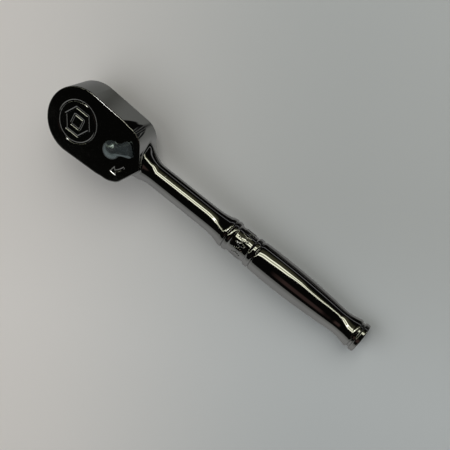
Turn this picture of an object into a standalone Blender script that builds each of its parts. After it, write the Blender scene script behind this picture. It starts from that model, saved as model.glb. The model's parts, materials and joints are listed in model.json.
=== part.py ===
"""Pear-head ratchet wrench with a 3/8 inch square drive and a turned steel handle.

Row frame: the origin is the centre of the drive square's end face, +Z runs up the drive axis
to the reversing lever, and +X runs along the handle to its end. Lengths here are in
millimetres and are turned into metres by MM where the meshes are made.
"""

import math

import bmesh
import bpy
from mathutils import Matrix, Vector

MM = 0.001

# Head
HEAD_RADIUS = 15.5
HEAD_TAPER = math.radians(3.2)
HEAD_CORNER_RADIUS = 9.0
HEAD_TIP_X = 35.0
HEAD_TIP_SLOPE = math.radians(28)
HEAD_TIP_RADIUS = 1.5
HEAD_BOTTOM = 11.5
HEAD_TOP = 26.8
HEAD_EDGE = 0.4
HANDLE_AXIS = 19.6
HANDLE_END = 151.0
SHANK_RADIUS = 5.33

# Neck
NECK_START, NECK_END = 27.0, 41.0
NECK_RADIUS = SHANK_RADIUS - 0.04
NECK_SPREAD = 3.5
NECK_LEAN = 1.8
NECK_LEAN_HEIGHT = 3.0
NECK_RISE = 0.9
NECK_DROP = 2.0
NECK_SQUARENESS = 0.8

# Drive
SQUARE = 9.53
SQUARE_CORNER = 0.9
SQUARE_CHAMFER = 0.5
TEETH = 72
TOOTH_TIP = 10.4
TOOTH_ROOT = 9.85
JOURNAL_RADIUS = 7.4
JOURNAL_LOW = 10.9
GEAR_LOW = 15.3
GEAR_HIGH = 22.4
BOSS_RADIUS = 5.0
BOSS_HIGH = 24.6

# Cavities
BORE_RADIUS = 11.2
BORE_HIGH = 23.2
COVER_BORE = 12.4
COVER_SHOULDER = 15.0
RING_GROOVE = 13.0
RING_GROOVE_LOW, RING_GROOVE_HIGH = 12.35, 13.35
POCKET_LOW = 15.8
POCKET_HIGH = 22.9
POCKET_RADIUS = 14.2
POCKET_END_X = 24.2
POCKET_HALF_WIDTH = 10.1

# Cover, its snap ring, and the washer above the gear
COVER_LOW, COVER_HIGH = 13.55, 14.7
SNAP_INNER = 10.9
SNAP_LOW, SNAP_HIGH = 12.6, 13.15
SNAP_OPENING = math.radians(50)
WASHER_OUTER, WASHER_INNER = 9.6, 5.35
WASHER_LOW, WASHER_HIGH = 22.65, 22.95

# Seals
SEAL_RADIUS = 0.4
JOURNAL_SEAL_HEIGHT = 14.1
STEM_SEAL_HEIGHT = 25.5

# Pawls
PAWL_MIDDLE = math.radians(62.5)
PAWL_TEETH = 5
PAWL_GAP = 0.15
PAWL_BACK = 12.85
PAWL_ROCK = math.radians(4.6)
PAWL_LOW = 16.1
PAWL_HIGH = 22.5
PAWL_PIVOT = (14.4, 5.9)
PAWL_EYE = 2.0
PAWL_TOE = [(14.1, 3.3), (12.6, 2.9), (11.3, 4.3), (9.1, 6.4)]
PAWL_LUG = [(12.4, 8.9), (15.8, 9.0), (15.9, 7.3)]
PIN_RADIUS = 1.0
PIN_HIGH = 24.6
PAWL_SPRING_Y = 8.05
PAWL_SPRING_FROM, PAWL_SPRING_TO = 16.5, 23.9
PAWL_SPRING_RADIUS = 0.85

# Reversing lever
LEVER_X = 19.6
LEVER_TURN = math.radians(38)
LEVER_BASE = 27.1
DOME_RADIUS = 4.3
DOME_HIGH = 29.7
STEM_RADIUS = 2.6
STEM_LOW = 22.05
STEM_SEAL_FLOOR = 1.75
CLIP_FLOOR, CLIP_OUTER = 2.0, 3.7
CLIP_LOW, CLIP_HIGH = 22.2, 22.75
CLIP_OPENING = math.radians(80)
STEM_SQUARE = 3.2
BLADE_LENGTH = 10.7
BLADE_WAIST = 2.5
BLADE_FLARE = 3.9
BLADE_CORNER = 1.2
BLADE_LOW = 27.2
BLADE_HIGH = 29.2
CAM_RADIUS = 3.4
CAM_NOSE = 2.3
CAM_NOSE_HALF = math.radians(36)
CAM_NOTCH = 0.42
CAM_NOTCH_HALF = math.radians(25)
CAM_LOW, CAM_HIGH = 16.2, 21.7

# Detents
ANVIL_BALL_RADIUS = 1.6
ANVIL_BALL_PROUD = 0.55
ANVIL_BALL_HEIGHT = 4.6
LEVER_BALL_RADIUS = 0.95
LEVER_BALL_BORE = 1.15
LEVER_BALL_BORE_FROM, LEVER_BALL_BORE_TO = 21.5, 29.5
DETENT_HEIGHT = 19.4

ROUND = 40
GAP = 0.3


def clear_scene():
    """Removes what the scene holds, and returns new collections for the parts and the cutters."""
    for old in list(bpy.data.objects):
        bpy.data.objects.remove(old, do_unlink=True)
    made = []
    for name in ("ratchet_wrench", "cutters"):
        collection = bpy.data.collections.new(name)
        bpy.context.scene.collection.children.link(collection)
        made.append(collection)
    return made


PARTS, CUTTERS = clear_scene()


def metal(name, colour, roughness, metallic=1.0):
    material = bpy.data.materials.new(name)
    material.use_nodes = True
    shader = material.node_tree.nodes["Principled BSDF"]
    shader.inputs["Base Color"].default_value = (*colour, 1.0)
    shader.inputs["Roughness"].default_value = roughness
    shader.inputs["Metallic"].default_value = metallic
    return material


DARK_CHROME = metal("dark_chrome", (0.16, 0.16, 0.165), 0.08)
BRIGHT_STEEL = metal("bright_steel", (0.62, 0.64, 0.66), 0.18)
GEAR_STEEL = metal("gear_steel", (0.42, 0.42, 0.43), 0.3)
SPRING_STEEL = metal("spring_steel", (0.35, 0.34, 0.33), 0.3)
SEAL_RUBBER = metal("seal_rubber", (0.02, 0.02, 0.022), 0.6, 0.0)


def arc(centre, radius, start, end, count):
    """Points on a circle, from one angle to another."""
    angles = [start + (end - start) * i / (count - 1) for i in range(count)]
    return [(centre[0] + radius * math.cos(a), centre[1] + radius * math.sin(a)) for a in angles]


def circle(radius, count=ROUND):
    return arc((0, 0), radius, 0, 2 * math.pi * (count - 1) / count, count)


def mirrored(half):
    """A whole outline from its +Y half, whose first and last points may lie on the X axis."""
    other = [(x, -y) for x, y in reversed(half) if abs(y) > 1e-6]
    return half + other


def add_object(name, mesh, material, location=(0, 0, 0)):
    obj = bpy.data.objects.new(name, mesh)
    obj.location = Vector(location) * MM
    if material:
        mesh.materials.append(material)
        PARTS.objects.link(obj)
    else:
        obj.hide_render = True
        obj.display_type = "WIRE"
        CUTTERS.objects.link(obj)
    return obj


def plate(name, outline, low, high, material=None, location=(0, 0, 0)):
    """A flat outline, filled and extruded from one height to another. With no material it is a cutter."""
    curve = bpy.data.curves.new(name, "CURVE")
    curve.dimensions = "2D"
    curve.fill_mode = "BOTH"
    curve.extrude = (high - low) / 2 * MM
    spline = curve.splines.new("POLY")
    spline.points.add(len(outline) - 1)
    for point, (x, y) in zip(spline.points, outline):
        point.co = (x * MM, y * MM, 0, 1)
    spline.use_cyclic_u = True
    guide = bpy.data.objects.new(name + "_outline", curve)
    CUTTERS.objects.link(guide)
    bpy.context.view_layer.update()
    evaluated = guide.evaluated_get(bpy.context.evaluated_depsgraph_get())
    mesh = bpy.data.meshes.new_from_object(evaluated)
    bpy.data.objects.remove(guide, do_unlink=True)
    shape = bmesh.new()
    shape.from_mesh(mesh)
    bmesh.ops.remove_doubles(shape, verts=shape.verts, dist=1e-6)
    bmesh.ops.translate(shape, verts=shape.verts, vec=(0, 0, (low + high) / 2 * MM))
    bmesh.ops.recalc_face_normals(shape, faces=shape.faces)
    shape.to_mesh(mesh)
    shape.free()
    return add_object(name, mesh, material, location)


def turned(name, profile, material=None, steps=ROUND, location=(0, 0, 0)):
    """A profile of (radius, height) points, from the top down, turned about the object's Z axis."""
    mesh = bpy.data.meshes.new(name)
    edges = [(i, i + 1) for i in range(len(profile) - 1)]
    mesh.from_pydata([(r * MM, 0, z * MM) for r, z in profile], edges, [])
    obj = add_object(name, mesh, material, location)
    screw = obj.modifiers.new("turn", "SCREW")
    screw.axis = "Z"
    screw.steps = screw.render_steps = steps
    screw.use_merge_vertices = True
    screw.merge_threshold = 1e-6
    screw.use_smooth_shade = True
    return obj


def rod(name, radius, low, high, material=None, steps=ROUND, location=(0, 0, 0)):
    profile = [(0, high), (radius, high), (radius, low), (0, low)]
    return turned(name, profile, material, steps, location)


def boolean(obj, operation, others):
    for other in others:
        modifier = obj.modifiers.new(other.name, "BOOLEAN")
        modifier.operation = operation
        modifier.solver = "EXACT"
        modifier.object = other


def bevel(obj, width, segments=2):
    modifier = obj.modifiers.new("edge", "BEVEL")
    modifier.width = width * MM
    modifier.segments = segments
    modifier.limit_method = "ANGLE"
    modifier.angle_limit = math.radians(40)


def ring(name, outer, inner, low, high, material, gap_angle=0.0, location=(0, 0, 0)):
    """A flat ring, whole or with a gap centred on +X."""
    if not gap_angle:
        profile = [(inner, low), (inner, high), (outer, high), (outer, low), (inner, low)]
        return turned(name, profile, material, ROUND, location)
    start, end = gap_angle / 2, 2 * math.pi - gap_angle / 2
    outline = arc((0, 0), outer, start, end, ROUND) + arc((0, 0), inner, end, start, ROUND)
    return plate(name, outline, low, high, material, location)


def ball(name, radius, centre, material):
    mesh = bpy.data.meshes.new(name)
    shape = bmesh.new()
    bmesh.ops.create_uvsphere(shape, u_segments=16, v_segments=10, radius=radius * MM)
    shape.to_mesh(mesh)
    shape.free()
    mesh.shade_smooth()
    return add_object(name, mesh, material, centre)


def spring(name, start, end, radius, wire, turns, material):
    """A coil of round wire between two points."""
    per_turn = 8
    start, end = Vector(start), Vector(end)
    along = end - start
    across = along.orthogonal().normalized()
    other = along.normalized().cross(across)
    curve = bpy.data.curves.new(name, "CURVE")
    curve.dimensions = "3D"
    curve.bevel_depth = wire / 2 * MM
    curve.bevel_resolution = 2
    curve.use_fill_caps = True
    spline = curve.splines.new("POLY")
    count = int(turns * per_turn) + 1
    spline.points.add(count - 1)
    for i, point in enumerate(spline.points):
        angle = 2 * math.pi * i / per_turn
        offset = across * math.cos(angle) * radius + other * math.sin(angle) * radius
        place = (along * (i / (count - 1)) + offset) * MM
        point.co = (*place, 1)
    curve.materials.append(material)
    obj = bpy.data.objects.new(name, curve)
    obj.location = start * MM
    PARTS.objects.link(obj)
    return obj


def seal(name, major, minor, location):
    bpy.ops.mesh.primitive_torus_add(
        major_radius=major * MM, minor_radius=minor * MM, major_segments=28, minor_segments=6,
        location=Vector(location) * MM,
    )
    obj = bpy.context.object
    obj.name = obj.data.name = name
    for holder in list(obj.users_collection):
        holder.objects.unlink(obj)
    PARTS.objects.link(obj)
    obj.data.materials.append(SEAL_RUBBER)
    obj.data.shade_smooth()
    return obj


def head_outline():
    """The pear outline: front circle, tapered sides, round rear corners and a blunt pointed tip."""
    side = Vector((math.sin(HEAD_TAPER), math.cos(HEAD_TAPER)))
    rear = Vector((math.cos(HEAD_TIP_SLOPE), math.sin(HEAD_TIP_SLOPE)))
    rear_line = HEAD_TIP_X * rear.x
    lines = Matrix((side, rear))
    to_side, to_rear = HEAD_RADIUS - HEAD_CORNER_RADIUS, rear_line - HEAD_CORNER_RADIUS
    corner = lines.inverted() @ Vector((to_side, to_rear))
    tip = ((rear_line - HEAD_TIP_RADIUS) / rear.x, 0)
    half = arc((0, 0), HEAD_RADIUS, math.pi, math.pi / 2 - HEAD_TAPER, 19)
    half += arc(corner, HEAD_CORNER_RADIUS, math.pi / 2 - HEAD_TAPER, HEAD_TIP_SLOPE, 9)
    half += arc(tip, HEAD_TIP_RADIUS, HEAD_TIP_SLOPE, 0, 4)
    return mirrored(half)


def falling(start, end, x):
    """1 before start, 0 after end, and smooth between."""
    t = min(max((x - start) / (end - start), 0), 1)
    return 1 - t * t * (3 - 2 * t)


def neck_section(x, count=32):
    """A ring of points: an oval that is squarer, deeper and wider below the axis towards the head."""
    spread = falling(NECK_START, NECK_END, x)
    power = 2 + NECK_SQUARENESS * spread
    points = []
    for i in range(count):
        angle = 2 * math.pi * i / count
        c, s = math.cos(angle), math.sin(angle)
        height = NECK_RADIUS + (NECK_RISE if s > 0 else NECK_DROP) * spread
        z = height * math.copysign(abs(s) ** (2 / power), s)
        wider = NECK_SPREAD - NECK_LEAN * math.tanh(z / NECK_LEAN_HEIGHT)
        y = (NECK_RADIUS + wider * spread) * math.copysign(abs(c) ** (2 / power), c)
        points.append(Vector((x, y, HANDLE_AXIS + z)) * MM)
    return points


def neck(name):
    """The loft from the wide back of the head to the round shank."""
    shape = bmesh.new()
    places = [22, NECK_START, 29.5, 32, 34.5, 37, 39, NECK_END, 46]
    rings = [[shape.verts.new(p) for p in neck_section(x)] for x in places]
    count = len(rings[0])
    for near, far in zip(rings, rings[1:]):
        for i in range(count):
            j = (i + 1) % count
            shape.faces.new((near[i], near[j], far[j], far[i]))
    shape.faces.new(rings[0][::-1])
    shape.faces.new(rings[-1])
    bmesh.ops.recalc_face_normals(shape, faces=shape.faces)
    mesh = bpy.data.meshes.new(name)
    shape.to_mesh(mesh)
    shape.free()
    return add_object(name, mesh, None)


def handle(name):
    """The turned shank, ringed collar and grip, as (distance along the handle, radius)."""
    shank = [(43.5, 0), (43.5, SHANK_RADIUS), (70.0, 5.36), (73.5, 5.5), (76.0, 5.85), (78.0, 6.35)]
    front_rings = [
        (79.6, 6.85), (80.4, 6.95), (80.9, 6.85), (81.2, 6.45),
        (81.6, 6.85), (82.5, 7.0), (83.4, 6.85), (83.9, 6.4),
    ]
    barrel = [(84.4, 6.2), (88.4, 6.28), (92.4, 6.2)]
    rear_ring = [(92.9, 6.65), (93.6, 6.9), (94.6, 6.9), (95.2, 6.65), (95.5, 6.35)]
    grip = [
        (95.9, 6.7), (96.6, 6.87), (100.5, 7.0), (105.5, 7.07), (111.0, 7.05), (118.4, 6.88),
        (125.8, 6.47), (130.8, 6.15), (135.7, 5.74), (139.5, 5.47), (141.5, 5.55),
        (143.5, 5.85), (145.5, 6.3), (146.8, 6.55), (147.3, 6.45),
    ]
    end_ring = [
        (147.7, 5.95), (148.4, 5.95), (148.8, 6.42), (149.2, 6.62),
        (150.4, 6.62), (HANDLE_END, 6.1), (HANDLE_END, 0),
    ]
    profile = [(r, x) for x, r in reversed(shank + front_rings + barrel + rear_ring + grip + end_ring)]
    obj = turned(name, profile, steps=24, location=(0, 0, HANDLE_AXIS))
    obj.rotation_euler = (0, math.pi / 2, 0)
    return obj


def pocket_outline():
    """The pawl pocket: an arc that clears the pawls' backs, and a room behind the gear."""
    side_at = math.asin(POCKET_HALF_WIDTH / POCKET_RADIUS)
    half = [(1.6, BORE_RADIUS - GAP)]
    half += arc((0, 0), POCKET_RADIUS, math.radians(82), side_at, 9)
    half += [(POCKET_END_X, POCKET_HALF_WIDTH)]
    return mirrored(half)


def mirror_y(outline):
    return [(x, -y) for x, y in outline]


def pin_hole(name, side):
    place = (PAWL_PIVOT[0], PAWL_PIVOT[1] * side, 0)
    return rod(name, PIN_RADIUS + GAP, POCKET_HIGH - 1, PIN_HIGH + GAP, steps=16, location=place)


def make_body():
    body = plate("ratchet_body", head_outline(), HEAD_BOTTOM, HEAD_TOP, DARK_CHROME)
    bevel(body, HEAD_EDGE)
    below = HEAD_BOTTOM - 2
    detent = rod("lever_detent_bore", LEVER_BALL_BORE, 0, LEVER_BALL_BORE_TO - LEVER_BALL_BORE_FROM,
                 steps=20, location=(LEVER_BALL_BORE_FROM, 0, DETENT_HEIGHT))
    detent.rotation_euler = (0, math.pi / 2, 0)
    boolean(body, "UNION", [neck("neck"), handle("handle")])
    boolean(body, "DIFFERENCE", [
        rod("cover_bore", COVER_BORE, below, COVER_SHOULDER),
        rod("gear_bore", BORE_RADIUS, below + 1, BORE_HIGH),
        rod("boss_recess", BOSS_RADIUS + GAP, GEAR_LOW, BOSS_HIGH + GAP),
        rod("cover_ring_groove", RING_GROOVE, RING_GROOVE_LOW, RING_GROOVE_HIGH),
        pin_hole("left_pin_hole", 1),
        pin_hole("right_pin_hole", -1),
        plate("pawl_pocket", pocket_outline(), POCKET_LOW, POCKET_HIGH),
        rod("lever_bore", STEM_RADIUS + GAP, POCKET_HIGH - 2, HEAD_TOP + 2, steps=32,
            location=(LEVER_X, 0, 0)),
        detent,
    ])
    return body


def gear_outline():
    points = []
    for tooth in range(TEETH):
        tip = 2 * math.pi * tooth / TEETH
        root = tip + math.pi / TEETH
        points.append((TOOTH_TIP * math.cos(tip), TOOTH_TIP * math.sin(tip)))
        points.append((TOOTH_ROOT * math.cos(root), TOOTH_ROOT * math.sin(root)))
    return points


def square_outline(side, corner, count=4):
    reach = side / 2 - corner
    points = []
    for quarter in range(4):
        turn = math.pi / 2 * quarter
        centre = (math.copysign(reach, math.cos(turn + 0.7)), math.copysign(reach, math.sin(turn + 0.7)))
        points += arc(centre, corner, turn, turn + math.pi / 2, count)
    return points


def make_drive_gear():
    gear = plate("drive_gear", gear_outline(), GEAR_LOW, GEAR_HIGH, GEAR_STEEL)
    square = plate("drive_square", square_outline(SQUARE, SQUARE_CORNER), 0, GEAR_LOW - 1)
    bevel(square, SQUARE_CHAMFER, 1)
    outside, floor = JOURNAL_RADIUS + 1, JOURNAL_RADIUS - 0.9
    above, below = JOURNAL_SEAL_HEIGHT + 0.5, JOURNAL_SEAL_HEIGHT - 0.5
    seal_groove = [
        (outside, above), (outside, below), (floor, below), (floor, above), (outside, above),
    ]
    ball_bore = rod("anvil_ball_bore", ANVIL_BALL_RADIUS + 0.15, -2.4, 7.0, steps=20,
                    location=(0, 0, ANVIL_BALL_HEIGHT))
    ball_bore.rotation_euler = (math.pi / 2, 0, 0)
    boolean(gear, "UNION", [
        rod("gear_journal", JOURNAL_RADIUS, JOURNAL_LOW, GEAR_LOW + 1),
        rod("gear_boss", BOSS_RADIUS, GEAR_HIGH - 1, BOSS_HIGH),
        square,
    ])
    boolean(gear, "DIFFERENCE", [turned("gear_seal_groove", seal_groove), ball_bore])
    return gear


def turned_by(outline, angle):
    c, s = math.cos(angle), math.sin(angle)
    return [(x * c - y * s, x * s + y * c) for x, y in outline]


def pawl_outline():
    """The +Y pawl: teeth that fill the gear's gaps, a round back, and a boss and spring lug by its pin."""
    pitch = 2 * math.pi / TEETH
    tip, root = TOOTH_ROOT + PAWL_GAP, TOOTH_TIP + PAWL_GAP
    first = PAWL_MIDDLE - pitch * (PAWL_TEETH // 2)
    points = list(PAWL_TOE)
    for tooth in range(PAWL_TEETH):
        angle = first + pitch * tooth
        points.append((root * math.cos(angle - pitch / 2), root * math.sin(angle - pitch / 2)))
        points.append((tip * math.cos(angle), tip * math.sin(angle)))
    last = first + pitch * (PAWL_TEETH - 0.5)
    points.append((root * math.cos(last), root * math.sin(last)))
    points += arc((0, 0), PAWL_BACK, last, math.radians(48), 6)
    eye = arc(PAWL_PIVOT, PAWL_EYE, math.radians(20), math.radians(-60), 5)
    return points + PAWL_LUG + eye


def rocked(outline, angle):
    """An outline about the origin turned about the +Y pawl's pin, and then measured from that pin."""
    moved = [(x - PAWL_PIVOT[0], y - PAWL_PIVOT[1]) for x, y in outline]
    return turned_by(moved, angle)


def make_pawls():
    """At rest the left pawl is in mesh, and the right one is rocked out of mesh on its pin."""
    engaged = rocked(pawl_outline(), 0)
    drawn_back = mirror_y(rocked(pawl_outline(), -PAWL_ROCK))
    for side, name, outline in ((1, "left_pawl", engaged), (-1, "right_pawl", drawn_back)):
        pivot = (PAWL_PIVOT[0], PAWL_PIVOT[1] * side, 0)
        pawl = plate(name, outline, PAWL_LOW, PAWL_HIGH, GEAR_STEEL, pivot)
        hole = rod(name + "_hole", PIN_RADIUS + 0.25, PAWL_LOW - 1, PAWL_HIGH + 1, steps=16,
                   location=pivot)
        boolean(pawl, "DIFFERENCE", [hole])
        rod(name + "_pin", PIN_RADIUS, POCKET_LOW + 0.2, PIN_HIGH, BRIGHT_STEEL, 20, pivot)
        near = (PAWL_SPRING_FROM, PAWL_SPRING_Y * side, DETENT_HEIGHT)
        far = (PAWL_SPRING_TO, PAWL_SPRING_Y * side, DETENT_HEIGHT)
        spring(name + "_spring", near, far, PAWL_SPRING_RADIUS, 0.35, 6, SPRING_STEEL)


def cam_outline():
    """A round cam with a nose opposite the thumb blade and two shallow detent notches."""
    nose_at = math.pi + LEVER_TURN
    notches = (0.0, 2 * LEVER_TURN)
    points = []
    for i in range(72):
        angle = 2 * math.pi * i / 72
        radius = CAM_RADIUS
        off = abs(math.remainder(angle - nose_at, 2 * math.pi))
        if off < CAM_NOSE_HALF:
            radius += CAM_NOSE * math.cos(off / CAM_NOSE_HALF * math.pi / 2) ** 2
        for notch in notches:
            off = abs(math.remainder(angle - notch, 2 * math.pi))
            if off < CAM_NOTCH_HALF:
                radius -= CAM_NOTCH * math.cos(off / CAM_NOTCH_HALF * math.pi / 2) ** 2
        points.append((radius * math.cos(angle), radius * math.sin(angle)))
    return points


def blade_outline():
    """The thumb blade: a waist at the dome that flares to a wide end with round corners."""
    straight, corner_x = BLADE_WAIST + 2.0, BLADE_LENGTH - BLADE_CORNER - 0.15
    corner_y = BLADE_FLARE - BLADE_CORNER
    half = [(BLADE_LENGTH, 0.0)]
    half += arc((corner_x, corner_y), BLADE_CORNER, math.radians(8), math.radians(112), 7)
    half += [(straight + 2.0, BLADE_WAIST + 0.45), (straight, BLADE_WAIST), (0, BLADE_WAIST)]
    return turned_by(mirrored(half), LEVER_TURN)


def make_lever():
    height = DOME_HIGH - LEVER_BASE
    sphere = (DOME_RADIUS**2 + height**2) / (2 * height)
    reach = math.asin(DOME_RADIUS / sphere)
    dome = [
        (sphere * math.sin(reach * i / 6), DOME_HIGH - sphere * (1 - math.cos(reach * i / 6)))
        for i in range(7)
    ]
    seal_low, seal_high = STEM_SEAL_HEIGHT - 0.6, STEM_SEAL_HEIGHT + 0.6
    stem = [
        (STEM_RADIUS, LEVER_BASE), (STEM_RADIUS, seal_high), (STEM_SEAL_FLOOR, seal_high),
        (STEM_SEAL_FLOOR, seal_low), (STEM_RADIUS, seal_low), (STEM_RADIUS, CLIP_HIGH + 0.2),
        (CLIP_FLOOR, CLIP_HIGH + 0.2), (CLIP_FLOOR, STEM_LOW), (0, STEM_LOW),
    ]
    lever = turned("reversing_lever", dome + stem, BRIGHT_STEEL, 28, (LEVER_X, 0, 0))
    blade = plate("lever_blade", blade_outline(), BLADE_LOW, BLADE_HIGH, location=(LEVER_X, 0, 0))
    bevel(blade, 0.5)
    key = turned_by(square_outline(STEM_SQUARE, 0.2, 2), LEVER_TURN)
    boolean(lever, "UNION", [
        blade, plate("lever_key", key, CAM_LOW - 0.1, STEM_LOW + 1.45, location=(LEVER_X, 0, 0)),
    ])
    cam = plate("reversing_cam", cam_outline(), CAM_LOW, CAM_HIGH, GEAR_STEEL, (LEVER_X, 0, 0))
    hole = turned_by(square_outline(STEM_SQUARE + GAP, 0.2, 2), LEVER_TURN)
    boolean(cam, "DIFFERENCE", [
        plate("cam_key_hole", hole, CAM_LOW - 1, CAM_HIGH + 1, location=(LEVER_X, 0, 0)),
    ])
    seal("lever_seal", STEM_SEAL_FLOOR + SEAL_RADIUS + 0.18, SEAL_RADIUS, (LEVER_X, 0, STEM_SEAL_HEIGHT))
    ring("lever_retaining_clip", CLIP_OUTER, CLIP_FLOOR + 0.25, CLIP_LOW, CLIP_HIGH, SPRING_STEEL,
         CLIP_OPENING, (LEVER_X, 0, 0))


def make_detents():
    anvil_y = -(SQUARE / 2 - ANVIL_BALL_RADIUS + ANVIL_BALL_PROUD)
    ball("anvil_detent_ball", ANVIL_BALL_RADIUS, (0, anvil_y, ANVIL_BALL_HEIGHT), BRIGHT_STEEL)
    spring("anvil_detent_spring", (0, anvil_y + 2.2, ANVIL_BALL_HEIGHT), (0, 1.9, ANVIL_BALL_HEIGHT),
           1.05, 0.4, 4, SPRING_STEEL)
    lever_ball_x = LEVER_X + CAM_RADIUS + 0.1 + LEVER_BALL_RADIUS
    ball("lever_detent_ball", LEVER_BALL_RADIUS, (lever_ball_x, 0, DETENT_HEIGHT), BRIGHT_STEEL)
    spring("lever_detent_spring", (lever_ball_x + 1.4, 0, DETENT_HEIGHT), (29.1, 0, DETENT_HEIGHT),
           0.7, 0.3, 4, SPRING_STEEL)


def make_cover():
    ring("cover_plate", COVER_BORE - GAP, JOURNAL_RADIUS + GAP, COVER_LOW, COVER_HIGH, GEAR_STEEL)
    ring("cover_retaining_ring", RING_GROOVE - GAP, SNAP_INNER, SNAP_LOW, SNAP_HIGH, SPRING_STEEL,
         SNAP_OPENING)
    seal("journal_seal", JOURNAL_RADIUS - 0.35, SEAL_RADIUS, (0, 0, JOURNAL_SEAL_HEIGHT))
    ring("thrust_washer", WASHER_OUTER, WASHER_INNER, WASHER_LOW, WASHER_HIGH, BRIGHT_STEEL)


make_body()
make_drive_gear()
make_pawls()
make_lever()
make_detents()
make_cover()
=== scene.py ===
"""Looks of the ratchet wrench: a mirror-bright dark chrome body and lever, with its small parts.

Lengths in the shape functions are millimetres in the row frame; MM turns them into metres.
The body, lever and drive square are fields of signed distance, meshed by dual contouring,
so that their edges are crisp and their reflections clean.
"""

import json
import math

import bmesh
import bpy
import numpy as np
from mathutils import Matrix, Vector


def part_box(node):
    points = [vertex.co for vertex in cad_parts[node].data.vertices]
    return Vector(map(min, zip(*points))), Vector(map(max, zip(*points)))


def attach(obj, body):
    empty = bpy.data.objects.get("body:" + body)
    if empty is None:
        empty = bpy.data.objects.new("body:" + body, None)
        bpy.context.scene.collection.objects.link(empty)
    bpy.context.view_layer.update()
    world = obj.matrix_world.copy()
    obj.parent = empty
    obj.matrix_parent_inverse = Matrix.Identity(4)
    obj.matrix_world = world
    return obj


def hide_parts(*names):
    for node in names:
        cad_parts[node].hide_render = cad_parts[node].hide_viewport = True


MM = 0.001

# Head and handle
AXIS_Z = 19.6
HEAD_LOW, HEAD_HIGH = 11.5, 26.8
HEAD_MESH_END = 45.2
HEAD_RADIUS = 15.5
HEAD_TAPER = math.radians(3.2)
CORNER_RADIUS = 9.0
TIP_X = 35.0
TIP_SLOPE = math.radians(28)
TIP_RADIUS = 1.5
HEAD_EDGE = 0.4
SHANK_RADIUS = 5.33
NECK_START, NECK_END = 27.0, 41.0
NECK_FILLET = 0.9
NECK_SPREAD = 3.5
NECK_LEAN, NECK_LEAN_HEIGHT = 1.8, 3.0
NECK_RISE, NECK_SAG = 0.9, 2.0
NECK_SQUARENESS = 0.8
SCALLOP = 0.38
SCALLOP_DROP = 9.0
SCALLOP_X, SCALLOP_Y = 22.0, 5.3
SCALLOP_FROM, SCALLOP_FULL_FROM, SCALLOP_FULL_TO, SCALLOP_TO = 38, 62, 92, 118

# Lever
LEVER_X = 19.6
LEVER_TURN = math.radians(38)
DOME_RADIUS = 4.3
STEM_RADIUS = 2.6
BLADE_LENGTH = 10.65
BLADE_WAIST = 2.6
BLADE_FLARE = 3.75
BLADE_CORNER = 1.3
FACET_SLOPE = 0.8
BLADE_SPREAD_FROM, BLADE_SPREAD_TO = 4.6, 9.0
FACET_INSET, FACET_OPENING = 0.8, 0.18
END_FACET_INSET = 1.1
CROWN_HEIGHT, CROWN_FALL, CROWN_FROM = 28.9, 0.07, 4.0
LEVER_LOW = 26.9
SKIRT_HEIGHT = 0.2
BLADE_LIFT = 0.35
STEM_LOW = 22.05
SEAL_FLOOR, SEAL_HEIGHT, SEAL_HALF = 1.75, 25.5, 0.6
CLIP_FLOOR, CLIP_HEIGHT, CLIP_HALF = 2.0, 22.5, 0.45
KEY_HALF, KEY_LOW, KEY_HIGH = 1.6, 16.1, 23.5

# Cavities
GEAR_BORE, GEAR_BORE_TOP = 11.2, 23.2
COVER_BORE, COVER_BORE_TOP = 12.4, 15.0
COVER_BEVEL = 0.35
RING_GROOVE, RING_GROOVE_LOW, RING_GROOVE_HIGH = 13.0, 12.35, 13.35
BOSS_BORE, BOSS_BORE_TOP = 5.3, 24.9
POCKET_RADIUS = 14.2
POCKET_START, POCKET_END = 10.0, 24.2
POCKET_ARC_START = 1.6
POCKET_HALF = 10.1
POCKET_HEIGHT, POCKET_HALF_HEIGHT = 19.35, 3.55
PIN_X, PIN_Y = 14.4, 5.9
PIN_BORE, PIN_BORE_LOW, PIN_BORE_TOP = 1.3, 21.9, 24.9
LEVER_BORE, LEVER_BORE_LOW = 2.9, 20.0
DETENT_HEIGHT = 19.4
DETENT_BORE, DETENT_BORE_X, DETENT_BORE_HALF = 1.15, 25.5, 4.0

# Drive
SQUARE, SQUARE_CORNER, SQUARE_LEAD = 9.53, 0.8, 0.7
TEETH = 72
TOOTH_TIP, TOOTH_ROOT = 10.4, 9.85
GEAR_LOW, GEAR_HIGH = 15.3, 22.4
JOURNAL_RADIUS, JOURNAL_LOW = 7.4, 10.9
JOURNAL_GROOVE, JOURNAL_GROOVE_HEIGHT, JOURNAL_GROOVE_HALF = 6.5, 14.1, 0.5
BOSS_RADIUS, BOSS_HIGH = 5.0, 24.6
BALL_RADIUS, BALL_HEIGHT = 1.6, 4.6
BALL_BORE, BALL_BORE_Y, BALL_BORE_HALF = 1.75, -3.5, 5.9
COVER_INNER, COVER_OUTER = 7.7, 12.1
COVER_LOW, COVER_HIGH = 13.55, 14.7
RING_OUTER, RING_INNER = 12.7, 10.9
RING_LOW, RING_HIGH = 12.6, 13.15
RING_OPENING = math.radians(26)
EYE_RADIUS, EYE_HOLE = 1.15, 0.5

# The handle's profile is eased over this many stations each way, PROFILE_SPACING apart
PROFILE_REACH = 45
PROFILE_SPACING = 0.05
END_FACE_RADIUS = 6.1

# What the tool stands on: the square's edge and the handle's end
DRIVE_EDGE = 4.76
END_RADIUS = 6.6

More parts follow.
